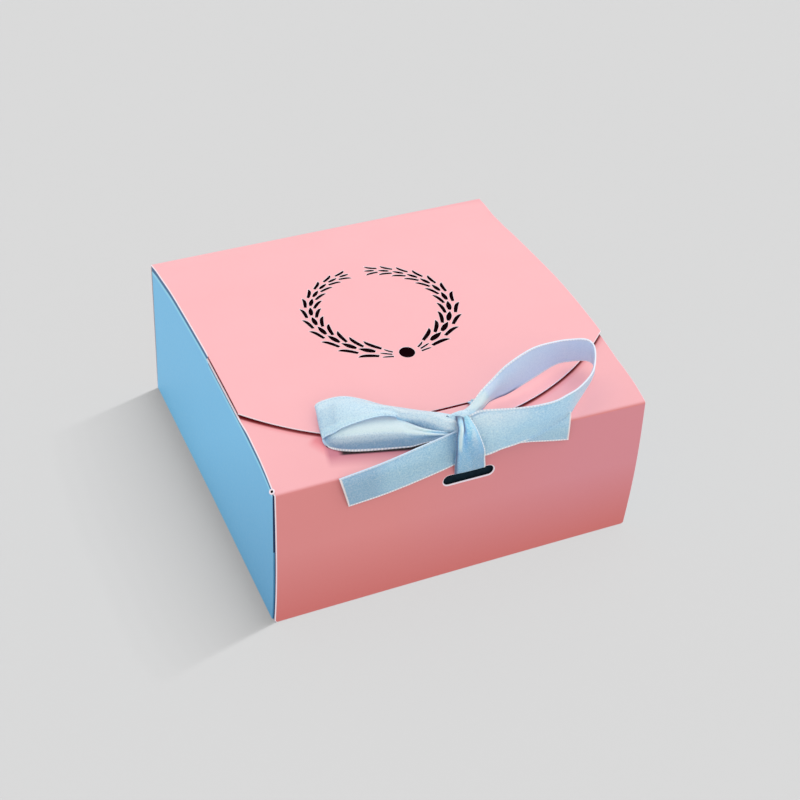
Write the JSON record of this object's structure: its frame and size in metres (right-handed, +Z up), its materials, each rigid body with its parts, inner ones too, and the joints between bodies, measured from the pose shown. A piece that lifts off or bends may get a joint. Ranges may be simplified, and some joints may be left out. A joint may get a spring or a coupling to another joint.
{
  "type": "bakery box",
  "caption": "Shut square bakery carton with an arched lid, a die-cut laurel wreath, a front slot and a satin ribbon tied in a bow.",
  "frame": {"origin": "middle of the base, where the carton rests", "axes": "+Z up out of the lid, -Y towards the front with the bow, +X to the right as the front is seen"},
  "size_m": [0.15, 0.1536, 0.0872],
  "materials": {
    "pink_card": "printed pink card, satin",
    "blue_card": "printed blue card, satin",
    "satin_ribbon": "pale blue satin ribbon with stitched edges"
  },
  "bodies": {
    "root": {"carton_body": "pink_card", "front_flap": "pink_card", "lid_panel": "pink_card", "side_panel_left": "blue_card", "side_panel_right": "blue_card", "ribbon_bow": "satin_ribbon"}
  },
  "joints": []
}
